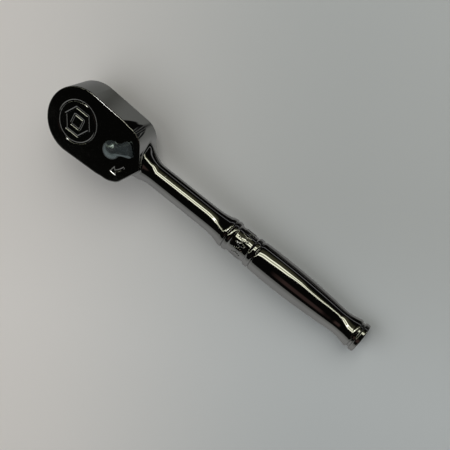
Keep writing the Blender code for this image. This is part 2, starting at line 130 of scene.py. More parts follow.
# Marks engraved on the head, and relief on the barrel
MARK_DEPTH = 0.22
MARK_HALF = 0.46
MARK_SOFTNESS = 0.12
RING_MARK = 9.4
NUT_MARK = 5.6
HOLE_MARK, HOLE_CORNER = 2.5, 0.5
ARROW_RADIUS = 9.4
ARROW_HALF = 0.5
ARROW_HEAD, ARROW_HEAD_BACK = 1.3, 0.5
ARROW_AT = math.radians(-37)
ARROW_REACH = math.radians(17)
BARREL_MIDDLE = 88.4
BARREL_REACH = 2.9
BARREL_LOZENGES = 16
BARREL_RELIEF = 0.26

# How much the mesher prefers a cell's middle to a far-off corner, and how far, in cells, a vertex may
# stand outside its own
FLATNESS = 0.03
PAST_CELL = 0.2

# Grid steps for the head, lever, drive and snap ring, and for the ball
STEPS = 0.22, 0.13, 0.16, 0.11
BALL_STEP = 0.14

# Planes of the mesher's grid that are worked out at a time, to keep memory small
SLAB = 40

# Slope kept by fields that are steeper than a true distance
SAFE_SLOPE = 0.7

# Colours, linear
CHROME = (0.50, 0.50, 0.505)
CHROME_WORN = (0.56, 0.56, 0.555)
EDGE_TINT = (0.72, 0.72, 0.72)
STEEL = (0.27, 0.32, 0.34)
STEEL_DARK, STEEL_PALE = (0.23, 0.285, 0.30, 1), (0.31, 0.365, 0.38, 1)
GEAR = (0.42, 0.42, 0.43)
GEAR_DARK, GEAR_PALE = (0.36, 0.36, 0.37, 1), (0.50, 0.50, 0.51, 1)
SPRING = (0.33, 0.32, 0.31)
SPRING_DARK, SPRING_PALE = (0.24, 0.23, 0.23, 1), (0.40, 0.39, 0.38, 1)
RUBBER = (0.02, 0.02, 0.022)
RUBBER_DARK, RUBBER_PALE = (0.014, 0.014, 0.016, 1), (0.034, 0.034, 0.036, 1)
# Floor colours are painted light and shade: paler and warmer on the lit side, darker and cooler on the
# shaded side, paler again on the near side
FLOOR_LIT_WARM = (0.63, 0.605, 0.58, 1)
FLOOR_SHADED_COOL = (0.37, 0.385, 0.38, 1)
FLOOR_LIT_WARM_NEAR = (0.70, 0.675, 0.65, 1)
FLOOR_SHADED_COOL_NEAR = (0.45, 0.475, 0.48, 1)
BACKDROP = (0.32, 0.325, 0.32, 1)
TABLE_UP = (0.839, 0.545)
ROOM = (0.003, 0.003, 0.0025, 1)
TABLE_FAR = (0.165, 0.167, 0.155, 1)
TABLE_NEAR = (0.275, 0.275, 0.265, 1)
STRIP = (1.8, 1.8, 1.42, 1)
BULB = (9.0, 9.0, 8.7, 1)
HOUSING = (0.62, 0.62, 0.46, 1)
HALO = (0.055, 0.055, 0.032, 1)
FAINT_LINE = (0.18, 0.18, 0.18, 1)
RED_PATCH = (0.045, 0.028, 0.024, 1)
DIM_PATCH = (0.082, 0.083, 0.074, 1)
# Dark with pale stripes: a painted reflection of the handle's shank, set in the surroundings
SHANK_REFLECTION_DARK, SHANK_REFLECTION_PALE = (0.012, 0.012, 0.012, 1), (0.16, 0.16, 0.15, 1)

# Floor, in metres; the two pairs are directions across it that its tone follows, and that tone is painted
# light and shade
FLOOR_REACH = 3.0
FLOOR_GAP = 0.0001
FLOOR_ACROSS, FLOOR_SHADED_COOLING = (0.77, 0.49), (-0.10, 0.11)
FLOOR_TOWARDS, FLOOR_LIT_PALING = (0.6, 0.9), (0.02, 0.13)
BACKDROP_RADIUS = 3.2
LAMPS_TO = Vector((0.075, 0, 0.01))

# What the polish reflects, by direction. TURN is degrees about the handle from straight up, and ALONG
# is the direction's part along the handle. Each band is (centre, half width, softness). The strip
# light's bands are measured from its middle, which slants by STRIP_SLANT degrees for each unit along.
# A pair is where a change starts and ends, and two more numbers are the values there.
TABLE_EDGE, TABLE_DEPTH = (0.0, -0.035), (-0.02, -0.55)
CLEAR_OF_TABLE = (0.0, 0.1)
STRIP_TURN, STRIP_SLANT = 65.2, 80.0
BEND_FROM, BEND_REACH, BEND_SLANT = 0.04, 0.09, 120.0
THINNER_AHEAD, THINNER_BEHIND = (-0.06, 0.24, 1.0, 3.2), (-0.34, -0.52, 1.0, 3.0)
TUBES_END_AHEAD, TUBES_END_BEHIND = (0.5, 0.36), (-0.7, -0.56)
HALO_TURN = (22, 14, 22)
HOUSING_TURN = (0, 11, 4)
TUBE_TURN = (8.5, 3.4, 3.0)
BULB_TURN, BULB_ALONG = (0, 5, 4), (-0.275, 0.015, 0.03)
FAINT_LINE_TURN = (112, 2.6, 2.5)
RED_TURN, RED_ALONG = (0, 12, 10), (0.07, 0.11, 0.06)
DIM_TURN, DIM_ALONG = (150, 6, 6), (-0.285, 0.008, 0.03)
STRIPED_TURN, STRIPED_ALONG, STRIPED_FADE = (140, 9, 3), (0.2, 0.3, 0.1), (-0.03, 0.0)
STRIPE_TURN, STRIPE_PITCH, STRIPE_SLANT = (0, 0.7, 0.8), 4.0, 60.0

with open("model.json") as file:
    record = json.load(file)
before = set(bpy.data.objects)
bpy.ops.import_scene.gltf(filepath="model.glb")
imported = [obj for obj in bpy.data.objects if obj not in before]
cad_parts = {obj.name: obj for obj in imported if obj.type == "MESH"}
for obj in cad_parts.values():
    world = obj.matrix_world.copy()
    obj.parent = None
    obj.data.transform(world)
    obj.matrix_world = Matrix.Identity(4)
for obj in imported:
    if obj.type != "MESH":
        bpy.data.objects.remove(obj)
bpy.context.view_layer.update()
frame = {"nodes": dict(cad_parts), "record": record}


def in_mm(corners):
    return [np.array(corner) / MM for corner in corners]


body_low, body_high = in_mm(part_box("ratchet_body"))
HANDLE_END = body_high[0]
LEVER_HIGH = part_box("reversing_lever")[1].z / MM


# ---------------------------------------------------------------- node helpers

class Nodes:
    """Short calls that add and join shader nodes."""

    def __init__(self, tree):
        self.tree = tree

    def new(self, kind, **settings):
        node = self.tree.nodes.new(kind)
        for name, value in settings.items():
            setattr(node, name, value)
        return node

    def put(self, socket, value):
        if isinstance(value, bpy.types.NodeSocket):
            self.tree.links.new(value, socket)
        else:
            socket.default_value = value

    def math(self, operation, a, b=0.0, c=0.0, clamp=False):
        node = self.new("ShaderNodeMath", operation=operation, use_clamp=clamp)
        for socket, value in zip(node.inputs, (a, b, c)):
            self.put(socket, value)
        return node.outputs[0]

    def band(self, value, centre, half, soft):
        """1 where value is within half of centre, falling to 0 over soft."""
        off = self.math("ABSOLUTE", self.math("SUBTRACT", value, centre))
        edge = self.math("SUBTRACT", half, off)
        return self.smooth(edge, -soft / 2, soft / 2)

    def smooth(self, value, start, end, low=0.0, high=1.0):
        node = self.new("ShaderNodeMapRange", interpolation_type="SMOOTHSTEP")
        self.put(node.inputs["Value"], value)
        for name, number in (("From Min", start), ("From Max", end), ("To Min", low), ("To Max", high)):
            node.inputs[name].default_value = number
        return node.outputs["Result"]

    def times(self, *values):
        result = values[0]
        for value in values[1:]:
            result = self.math("MULTIPLY", result, value)
        return result

    def mix(self, factor, a, b):
        node = self.new("ShaderNodeMix", data_type="RGBA")
        self.put(node.inputs["Factor"], factor)
        colours = [s for s in node.inputs if s.type == "RGBA"]
        self.put(colours[0], a)
        self.put(colours[1], b)
        return next(s for s in node.outputs if s.type == "RGBA")

    def noise(self, scale, detail=4.0, roughness=0.55, vector=None):
        node = self.new("ShaderNodeTexNoise")
        node.inputs["Scale"].default_value = scale
        node.inputs["Detail"].default_value = detail
        node.inputs["Roughness"].default_value = roughness
        if vector is not None:
            self.put(node.inputs["Vector"], vector)
        return node.outputs[0]


# ---------------------------------------------------------------- camera, floor and light

CAMERA_AT = Vector((123.6, 169.4, 310.2)) * MM
CAMERA_TO = Vector((77.3, 1.8, AXIS_Z)) * MM
CAMERA_ROLL = math.radians(-128.03)
CAMERA_LENS = 64.0


def make_camera():
    data = bpy.data.cameras.new("camera")
    data.lens = CAMERA_LENS
    data.sensor_width = 36.0
    camera = bpy.data.objects.new("camera", data)
    bpy.context.scene.collection.objects.link(camera)
    back = (CAMERA_AT - CAMERA_TO).normalized()
    turn = back.to_track_quat("Z", "Y").to_matrix().to_4x4() @ Matrix.Rotation(CAMERA_ROLL, 4, "Z")
    camera.matrix_world = Matrix.Translation(CAMERA_AT) @ turn
    bpy.context.scene.camera = camera


make_camera()


# ---------------------------------------------------------------- signed distance fields

def smoothstep(start, end, value):
    t = np.clip((value - start) / (end - start), 0, 1)
    return t * t * (3 - 2 * t)


def smooth_min(a, b, reach):
    """The union of two fields, with a fillet where they meet."""
    h = np.maximum(reach - np.abs(a - b), 0) / reach
    return np.minimum(a, b) - h * h * reach / 4


def smooth_max(a, b, reach):
    return -smooth_min(-a, -b, reach)


def rounded_prism(outline, z, low, high, edge):
    """An outline's distance carried from one height to another, with a round edge."""
    across = outline + edge
    up = np.abs(z - (low + high) / 2) - (high - low) / 2 + edge
    outside = np.hypot(np.maximum(across, 0), np.maximum(up, 0))
    return outside + np.minimum(np.maximum(across, up), 0) - edge


def rounded_box(x, y, half_x, half_y, corner):
    across = np.abs(x) - half_x + corner
    up = np.abs(y) - half_y + corner
    outside = np.hypot(np.maximum(across, 0), np.maximum(up, 0))
    return outside + np.minimum(np.maximum(across, up), 0) - corner


def cylinder(radius_field, z, low, high, edge=0.0):
    return rounded_prism(radius_field, z, low, high, edge)


def pear(x, y):
    """Distance to the head's outline: front circle, tapered sides, round corners and a blunt tip."""
    y = np.abs(y)
    side = math.sin(HEAD_TAPER), math.cos(HEAD_TAPER)
    along = side[1], -side[0]
    rear = math.cos(TIP_SLOPE), math.sin(TIP_SLOPE)
    down = rear[1], -rear[0]
    rear_line = TIP_X * rear[0]
    inset = HEAD_RADIUS - CORNER_RADIUS, rear_line - CORNER_RADIUS
    corner = np.linalg.solve(np.array((side, rear)), inset)
    tip = (rear_line - TIP_RADIUS) / rear[0]
    to_side = x * side[0] + y * side[1] - HEAD_RADIUS
    on_side = x * along[0] + y * along[1]
    past_corner = (x - corner[0]) * down[0] + (y - corner[1]) * down[1]
    tip_reach = (tip - corner[0]) * down[0] - corner[1] * down[1]
    return np.select(
        [on_side < 0, on_side < corner @ np.array(along), past_corner < 0, past_corner < tip_reach],
        [np.hypot(x, y) - HEAD_RADIUS, to_side,
         np.hypot(x - corner[0], y - corner[1]) - CORNER_RADIUS, x * rear[0] + y * rear[1] - rear_line],
        np.hypot(x - tip, y) - TIP_RADIUS,
    )


def scallop(x, y, z):
    """How far the polishing has drawn the wall in, high on each rear corner."""
    along = np.degrees(np.arctan2(np.abs(y) - SCALLOP_Y, x - SCALLOP_X))
    window = smoothstep(SCALLOP_TO, SCALLOP_FULL_TO, along)
    window = window * smoothstep(SCALLOP_FROM, SCALLOP_FULL_FROM, along)
    drop = SCALLOP_DROP * (0.35 + 0.65 * window)
    return SCALLOP * window * np.maximum(1 - (HEAD_HIGH - z) / drop, 0) ** 2


def neck_field(x, y, z):
    """The oval neck, squared off and deeper towards the head, that ends as the round shank."""
    spread = 1 - smoothstep(NECK_START, NECK_END, x)
    rise = z - AXIS_Z
    width = SHANK_RADIUS + (NECK_SPREAD - NECK_LEAN * np.tanh(rise / NECK_LEAN_HEIGHT)) * spread
    height = SHANK_RADIUS + np.where(rise > 0, NECK_RISE, NECK_SAG) * spread
    power = 2 + NECK_SQUARENESS * spread
    size = ((np.abs(y) / width) ** power + (np.abs(rise) / height) ** power) ** (1 / power)
    size = np.maximum(size, 0.05)
    return np.hypot(y, rise) * (1 - 1 / size) * 0.85


def arc_mark(x, y, centre, radius, half_width, middle, half_angle):
    """A curved arrow: a band of a circle with a head at the end nearest +Y or -Y."""
    dx, dy = x - centre, y
    angle = np.arctan2(dy, dx) - middle
    band = np.abs(np.hypot(dx, dy) - radius) - half_width
    ends = (np.abs(angle) - half_angle) * radius
    tip = middle + math.copysign(half_angle, middle)
    tip_x, tip_y = centre + radius * math.cos(tip), radius * math.sin(tip)
    turn = math.copysign(1, middle)
    ahead = (-math.sin(tip) * turn, math.cos(tip) * turn)
    forward = (x - tip_x) * ahead[0] + (y - tip_y) * ahead[1]
    sideways = np.abs((x - tip_x) * ahead[1] - (y - tip_y) * ahead[0])
    head = np.maximum(forward * 0.6 + sideways * 0.8 - ARROW_HEAD, -forward - ARROW_HEAD_BACK)
    return np.minimum(np.maximum(band, ends), head)


def hexagon(x, y, flat):
    """Distance to a hexagon, flat being the distance from its middle to a side."""
    x, y = np.abs(x), np.abs(y)
    return np.maximum(y, x * math.cos(math.radians(30)) + y * 0.5) - flat


def engraving(x, y):
    """Generic marks on the top face: a ring, a nut and a square inside it, and a turning arrow."""
    ring = np.abs(np.hypot(x, y) - RING_MARK) - MARK_HALF
    nut = np.abs(hexagon(x, y, NUT_MARK)) - MARK_HALF
    hole = np.abs(rounded_box(x, y, HOLE_MARK, HOLE_MARK, HOLE_CORNER)) - MARK_HALF
    marks = np.minimum(np.minimum(ring, nut), hole)
    arrow = arc_mark(x, y, LEVER_X, ARROW_RADIUS, ARROW_HALF, ARROW_AT, ARROW_REACH)
    return np.minimum(marks, arrow)


def head_field(points):
    """The head and neck, hollowed for the gear, pawls and lever, and engraved on top."""
    x, y, z = points[..., 0], points[..., 1], points[..., 2]
    head = rounded_prism(pear(x, y) + scallop(x, y, z), z, HEAD_LOW, HEAD_HIGH, HEAD_EDGE)
    neck = np.maximum(neck_field(x, y, z), 20 - x)
    solid = smooth_min(head, neck, NECK_FILLET)
    solid = np.maximum(np.maximum(solid, z - HEAD_HIGH), HEAD_LOW - z)
    below = HEAD_HIGH - z
    groove = np.maximum((engraving(x, y) + below) * SAFE_SLOPE, below - MARK_DEPTH)
    solid = smooth_max(solid, -groove, MARK_SOFTNESS)
    radius = np.hypot(x, y)
    to_lever = np.hypot(x - LEVER_X, y)
    to_pin = np.hypot(x - PIN_X, np.abs(y) - PIN_Y)
    to_detent = np.hypot(y, z - DETENT_HEIGHT)
    arc = np.maximum(radius - POCKET_RADIUS, POCKET_ARC_START - x)
    block = np.maximum(POCKET_START - x, x - POCKET_END)
    sides = np.where(x < POCKET_START, -9.9, np.abs(y) - POCKET_HALF)
    pocket = np.maximum(np.minimum(arc, block), sides)
    mouth = (radius - COVER_BORE - COVER_BEVEL + (z - HEAD_LOW)) * SAFE_SLOPE
    hollows = (
        cylinder(radius - COVER_BORE, z, HEAD_LOW - 2, COVER_BORE_TOP),
        cylinder(radius - GEAR_BORE, z, HEAD_LOW, GEAR_BORE_TOP),
        cylinder(radius - BOSS_BORE, z, COVER_BORE_TOP, BOSS_BORE_TOP),
        cylinder(radius - RING_GROOVE, z, RING_GROOVE_LOW, RING_GROOVE_HIGH),
        np.maximum(pocket, np.abs(z - POCKET_HEIGHT) - POCKET_HALF_HEIGHT),
        cylinder(to_lever - LEVER_BORE, z, LEVER_BORE_LOW, HEAD_HIGH + 2),
        cylinder(to_pin - PIN_BORE, z, PIN_BORE_LOW, PIN_BORE_TOP),
        np.maximum(to_detent - DETENT_BORE, np.abs(x - DETENT_BORE_X) - DETENT_BORE_HALF),
        np.maximum(mouth, z - HEAD_LOW - 1),
    )
    for hollow in hollows:
        solid = np.maximum(solid, -hollow)
    return np.maximum(solid, x - HEAD_MESH_END)


def lever_field(points):
    """The lever: a domed hub on a short skirt, a flared blade with sloping sides, and a grooved stem."""
    x, y, z = points[..., 0] - LEVER_X, points[..., 1], points[..., 2]
    along = x * math.cos(LEVER_TURN) + y * math.sin(LEVER_TURN)
    across = -x * math.sin(LEVER_TURN) + y * math.cos(LEVER_TURN)
    radius = np.hypot(x, y)
    skirt_top = LEVER_LOW + SKIRT_HEIGHT
    rise = LEVER_HIGH - skirt_top
    sphere = (DOME_RADIUS**2 + rise**2) / (2 * rise)
    cap = np.sqrt(radius**2 + (z - LEVER_HIGH + sphere) ** 2) - sphere
    hub = smooth_max(smooth_max(cap, radius - DOME_RADIUS, 0.5), LEVER_LOW - z, 0.25)
    spread = smoothstep(BLADE_SPREAD_FROM, BLADE_SPREAD_TO, along)
    half = BLADE_WAIST + (BLADE_FLARE - BLADE_WAIST) * spread
    side, tip = np.abs(across) - half, along - BLADE_LENGTH
    outline = np.maximum(smooth_max(side * 0.93, tip, BLADE_CORNER * 2), -along)
    crown = CROWN_HEIGHT - CROWN_FALL * (along - CROWN_FROM)
    slant = math.hypot(1, FACET_SLOPE)
    facet = (z - crown + FACET_SLOPE * (np.abs(across) - FACET_INSET - FACET_OPENING * along)) / slant
    end_facet = (z - crown + FACET_SLOPE * (along - BLADE_LENGTH + END_FACET_INSET)) / slant
    top = smooth_max(z - crown, smooth_max(facet, end_facet, 0.1), 0.1)
    blade = smooth_max(smooth_max(outline, top, 0.2), LEVER_LOW + BLADE_LIFT - z, 0.3)
    lever = smooth_min(hub, blade, 0.3)
    stem = cylinder(radius - STEM_RADIUS, z, STEM_LOW, LEVER_LOW + 1, 0.1)
    grooves = (SEAL_FLOOR, SEAL_HEIGHT, SEAL_HALF), (CLIP_FLOOR, CLIP_HEIGHT, CLIP_HALF)
    for floor, middle, reach in grooves:
        groove = np.maximum(floor - radius, np.abs(z - middle) - reach)
        stem = np.maximum(stem, -np.maximum(groove, radius - 4))
    key = rounded_prism(rounded_box(along, across, KEY_HALF, KEY_HALF, 0.2), z, KEY_LOW, KEY_HIGH, 0.15)
    return np.minimum(np.minimum(lever, stem), key)


def drive_field(points):
    """The toothed gear, its journal and boss, and the drive square with its ball hole."""
    x, y, z = points[..., 0], points[..., 1], points[..., 2]
    radius = np.hypot(x, y)
    phase = np.arctan2(y, x) * TEETH / (2 * math.pi)
    tooth = TOOTH_ROOT + (TOOTH_TIP - TOOTH_ROOT) * np.abs(2 * (phase - np.floor(phase)) - 1)
    gear = rounded_prism((radius - tooth) * SAFE_SLOPE, z, GEAR_LOW, GEAR_HIGH, 0.12)
    journal = cylinder(radius - JOURNAL_RADIUS, z, JOURNAL_LOW, GEAR_LOW + 0.3, 0.35)
    seal = np.maximum(JOURNAL_GROOVE - radius, radius - 9)
    seal = np.maximum(seal, np.abs(z - JOURNAL_GROOVE_HEIGHT) - JOURNAL_GROOVE_HALF)
    journal = np.maximum(journal, -seal)
    boss = cylinder(radius - BOSS_RADIUS, z, GEAR_HIGH - 1.4, BOSS_HIGH, 0.3)
    side = rounded_box(x, y, SQUARE / 2, SQUARE / 2, SQUARE_CORNER)
    square = rounded_prism(side, z, -3, JOURNAL_LOW + 1.1, 0.01)
    lead = (side + SQUARE_LEAD - z) * 0.707
    square = smooth_max(square, smooth_max(lead, -z, 0.15), 0.15)
    hole = np.hypot(x, z - BALL_HEIGHT) - BALL_BORE
    hole = np.maximum(hole, np.abs(y - BALL_BORE_Y) - BALL_BORE_HALF)
    solid = np.minimum(np.minimum(gear, journal), boss)
    return np.maximum(smooth_min(solid, square, 0.5), -hole)


def snap_ring_field(points):
    """The retaining ring: an open ring whose two ends carry an eye for ring pliers."""
    x, y, z = points[..., 0], points[..., 1], points[..., 2]
    angle = np.abs(np.arctan2(y, x))
    radius = np.hypot(x, y)
    band = np.abs(radius - (RING_OUTER + RING_INNER) / 2) - (RING_OUTER - RING_INNER) / 2
    band = np.maximum(band, (RING_OPENING - angle) * radius)
    eye_at, eye_angle = RING_INNER - 0.1, RING_OPENING + 0.12
    to_eye = np.hypot(x - eye_at * math.cos(eye_angle), np.abs(y) - eye_at * math.sin(eye_angle))
    shape = np.maximum(smooth_min(band, to_eye - EYE_RADIUS, 0.6), EYE_HOLE - to_eye)
    return rounded_prism(np.maximum(shape, radius - RING_OUTER), z, RING_LOW, RING_HIGH, 0.1)


# ---------------------------------------------------------------- meshing

def gradient(field, points, step=0.01):
    """Unit normals of a field, by central differences."""
    slopes = []
    for axis in range(3):
        shift = np.zeros(3)
        shift[axis] = step
        slopes.append(field(points + shift) - field(points - shift))
    slopes = np.stack(slopes, -1)
    return slopes / np.maximum(np.linalg.norm(slopes, axis=-1, keepdims=True), 1e-12)


def crossings(field, start, values, axis, step):
    """The grid edges along one axis that the surface cuts, where it cuts them, and which way it faces."""
    near = [slice(1, -1)] * 3
    near[axis] = slice(0, -1)
    far = list(near)
    far[axis] = slice(1, None)
    inner, outer = values[tuple(near)], values[tuple(far)]
    cells = np.argwhere((inner < 0) != (outer < 0))
    offset = np.array([0 if k == axis else 1 for k in range(3)])
    index = cells + offset
    a = inner[tuple(cells.T)]
    b = outer[tuple(cells.T)]
    base = start + index * step
    low_t, high_t = np.zeros(len(a)), np.ones(len(a))
    low_f, high_f = a.copy(), b.copy()
    for _ in range(5):
        t = low_t + (high_t - low_t) * np.clip(low_f / (low_f - high_f), 0.05, 0.95)
        place = base.copy()
        place[:, axis] += t * step
        value = field(place)
        same = (value < 0) == (low_f < 0)
        low_t, low_f = np.where(same, t, low_t), np.where(same, value, low_f)
        high_t, high_f = np.where(same, high_t, t), np.where(same, high_f, value)
    return index, place, a < 0


def dual_contour(field, low, high, step):
    """One vertex a cell, on the corner or edge that the normals in it imply: (vertices, quads)."""
    start = np.array(low) - 1.5 * step
    count = np.ceil((np.array(high) + 1.5 * step - start) / step).astype(int) + 1
    axes = [start[k] + np.arange(count[k]) * step for k in range(3)]
    slabs = []
    for first in range(0, count[0], SLAB):
        slab = np.stack(np.meshgrid(axes[0][first:first + SLAB], axes[1], axes[2], indexing="ij"), -1)
        slabs.append(field(slab))
    values = np.concatenate(slabs)

    def cell_of(index):
        return (index[:, 0] * count[1] + index[:, 1]) * count[2] + index[:, 2]

    cells, places, facings, quads = [], [], [], []
    for axis in range(3):
        index, place, outward = crossings(field, start, values, axis, step)
        one, two = np.zeros(3, int), np.zeros(3, int)
        one[(axis + 1) % 3] = 1
        two[(axis + 2) % 3] = 1
        around = np.stack([cell_of(index - shift) for shift in (0 * one, one, one + two, two)], 1)
        quads.append(np.where(outward[:, None], around, around[:, ::-1]))
        normal = gradient(field, place)
        for corner in range(4):
            cells.append(around[:, corner])
            places.append(place)
            facings.append(normal)
    cells, places, facings = np.concatenate(cells), np.concatenate(places), np.concatenate(facings)
    used, member = np.unique(cells, return_inverse=True)
    total = np.bincount(member).astype(float)

    def gather(weights):
        return np.bincount(member, weights, len(used))

    middle = np.stack([gather(places[:, k]) / total for k in range(3)], 1)
    away = np.einsum("ij,ij->i", facings, places - middle[member])
    matrix = np.zeros((len(used), 3, 3))
    right = np.zeros((len(used), 3))
    for i in range(3):
        right[:, i] = gather(facings[:, i] * away)
        for j in range(3):
            matrix[:, i, j] = gather(facings[:, i] * facings[:, j])
    matrix += np.eye(3) * FLATNESS
    moved = middle + np.linalg.solve(matrix, right[..., None])[..., 0]
    corner = np.stack((used // (count[1] * count[2]), used // count[2] % count[1], used % count[2]), 1)
    corner = start + corner * step
    moved = np.clip(moved, corner - PAST_CELL * step, corner + (1 + PAST_CELL) * step)
    return moved, np.searchsorted(used, np.concatenate(quads))


def field_mesh(field, low, high, step):
    """A field's mesh in millimetres, with a normal for each face corner taken just inside that face."""
    vertices, quads = dual_contour(field, low, high, step)
    corners = vertices[quads]
    centre = corners.mean(1, keepdims=True)
    normals = gradient(field, (corners * 0.85 + centre * 0.15).reshape(-1, 3), 0.02)
    return vertices, quads, normals


def joined(*meshes):
    """Several (vertices, quads, corner normals) as one."""
    vertices, quads, normals, base = [], [], [], 0
    for points, faces, facing in meshes:
        vertices.append(points)
        quads.append(faces + base)
        normals.append(facing)
        base += len(points)
    return np.concatenate(vertices), np.concatenate(quads), np.concatenate(normals)


def add_piece(name, parts, body, slot, material, *nodes):
    """Makes the mesh, puts it on its CAD body, and lets it stand for the CAD nodes it replaces."""
    vertices, quads, normals = parts
    mesh = bpy.data.meshes.new(name)
    mesh.from_pydata((vertices * MM).tolist(), [], quads.tolist())
    mesh.polygons.foreach_set("use_smooth", np.ones(len(quads), bool))
    mesh.normals_split_custom_set(normals.tolist())
    mesh.materials.append(material)
    piece = bpy.data.objects.new(name, mesh)
    bpy.context.scene.collection.objects.link(piece)
    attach(piece, body)
    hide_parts(*nodes)
    return piece


# ---------------------------------------------------------------- turned pieces

def smooth_profile(points, spacing):
    """A C1 curve through (x, radius) points that doesn't overshoot, as dense x and radius arrays."""
    x, r = np.array(points, float).T
    gaps = np.diff(x)
    slopes = np.diff(r) / gaps
    tangent = np.zeros(len(x))
    tangent[0], tangent[-1] = slopes[0], slopes[-1]
    same_way = slopes[:-1] * slopes[1:] > 0
    before, after = 2 * gaps[1:] + gaps[:-1], gaps[1:] + 2 * gaps[:-1]
    safe = np.where(same_way, slopes[:-1], 1), np.where(same_way, slopes[1:], 1)
    tangent[1:-1] = np.where(same_way, (before + after) / (before / safe[0] + after / safe[1]), 0)
    dense = np.linspace(x[0], x[-1], int((x[-1] - x[0]) / spacing) + 1)
    k = np.clip(np.searchsorted(x, dense) - 1, 0, len(gaps) - 1)
    t = (dense - x[k]) / gaps[k]
    radius = (
        (2 * t**3 - 3 * t**2 + 1) * r[k] + (t**3 - 2 * t**2 + t) * gaps[k] * tangent[k]
        + (3 * t**2 - 2 * t**3) * r[k + 1] + (t**3 - t**2) * gaps[k] * tangent[k + 1]
    )
    return dense, radius


def ring_quads(rings, sides):
    """The quads that join closed rings of points, one ring to the next."""
    index = np.arange(rings * sides).reshape(rings, sides)
    around = np.roll(index, -1, 1)
    return np.stack((index[:-1], index[1:], around[1:], around[:-1]), -1).reshape(-1, 4)


def turned(along, radius_of, sides, turn_to, origin):
    """A surface turned about an axis: radius_of(along, angle) may also carry relief round it."""
    angles = np.arange(sides) * 2 * math.pi / sides
    station, angle = np.meshgrid(along, angles, indexing="ij")
    radius = radius_of(station, angle)
    small = 0.01
    slope = (radius_of(station + small, angle) - radius_of(station - small, angle)) / (2 * small)
    turn = 0.001
    lean = (radius_of(station, angle + turn) - radius_of(station, angle - turn)) / (2 * turn)
    lean /= np.maximum(radius, 0.1)
    c, s = np.cos(angle), np.sin(angle)
    place = turn_to(station, radius * c, radius * s)
    facing = turn_to(-slope, c + lean * s, s - lean * c)
    quads = ring_quads(len(along), sides)
    flat = facing.reshape(-1, 3)
    flat /= np.linalg.norm(flat, axis=1, keepdims=True)
    points = place.reshape(-1, 3) + origin
    first = points[quads[0]]
    if np.cross(first[1] - first[0], first[3] - first[0]) @ flat[quads[0, 0]] < 0:
        quads = quads[:, ::-1]
    return points, quads, flat[quads.ravel()]


def along_handle(station, y, z):
    return np.stack((station, z, y), -1)


def up_drive(station, x, y):
    return np.stack((x, y, station), -1)


def handle_radius():
    """The turned handle as radius against x: shank, ringed collar, grip and flared end."""
    shank = [(HEAD_MESH_END - 0.2, SHANK_RADIUS), (70, 5.36), (73.5, 5.5), (76, 5.85), (78, 6.35)]
    collar = [
        (79.6, 6.85), (80.4, 6.95), (80.9, 6.85), (81.2, 6.45), (81.6, 6.85), (82.5, 7.0),
        (83.4, 6.85), (83.9, 6.4), (84.4, 6.2), (88.4, 6.24), (92.4, 6.2), (92.9, 6.65),
        (93.6, 6.9), (94.6, 6.9), (95.2, 6.65), (95.5, 6.35), (95.9, 6.7), (96.6, 6.87),
    ]
    grip = [
        (100.5, 7.0), (105.5, 7.07), (111, 7.05), (118.4, 6.88), (125.8, 6.47), (130.8, 6.15),
        (135.7, 5.74), (139.5, 5.47), (141.5, 5.55), (143.5, 5.85), (145.5, 6.3), (146.8, 6.55),
        (147.3, 6.45), (147.7, 5.95), (148.4, 5.95), (148.8, 6.42), (149.2, 6.62), (150.4, 6.62),
        (150.8, 6.45), (HANDLE_END, END_FACE_RADIUS),
    ]
    stations, radii = smooth_profile(shank + collar + grip, PROFILE_SPACING)
    window = np.hanning(2 * PROFILE_REACH + 1)
    eased = np.convolve(np.pad(radii, PROFILE_REACH, mode="edge"), window / window.sum(), "valid")
    on_shank = smoothstep(60, 66, stations) * smoothstep(79, 77.5, stations)
    on_grip = smoothstep(98, 101, stations) * smoothstep(146, 144.5, stations)
    radii = radii + (eased - radii) * (on_shank + on_grip)

    def radius_of(x, angle):
        turns = angle * BARREL_LOZENGES / (2 * math.pi)
        off_x = np.abs(x - BARREL_MIDDLE) / BARREL_REACH
        off_angle = np.abs(turns - np.round(turns)) * 2.6
        relief = BARREL_RELIEF * smoothstep(0.0, 0.25, 1 - off_x - off_angle)
        return np.interp(x, stations, radii) + relief

    return radius_of


def make_handle():
    """The handle's side, with closer stations where its rings are, and its flat end."""
    fine = np.concatenate([
        np.arange(HEAD_MESH_END - 0.15, 70, 1.0), np.arange(70, 79, 0.3), np.arange(79, 97, 0.12),
        np.arange(97, 141, 0.5), np.arange(141, HANDLE_END - 0.01, 0.12), [HANDLE_END],
    ])
    side = turned(fine, handle_radius(), 144, along_handle, (0, 0, AXIS_Z))
    sides = 48
    angles = np.arange(sides) * 2 * math.pi / sides
    radii = (END_FACE_RADIUS, 4.0, 2.0, 0.05)
    level = np.full(sides, HANDLE_END)
    rings = [np.stack((level, r * np.cos(angles), r * np.sin(angles) + AXIS_Z), -1) for r in radii]
    quads = ring_quads(len(radii), sides)[:, ::-1]
    end = np.concatenate(rings), quads, np.tile((1.0, 0, 0), (quads.size, 1))
    return joined(side, end)


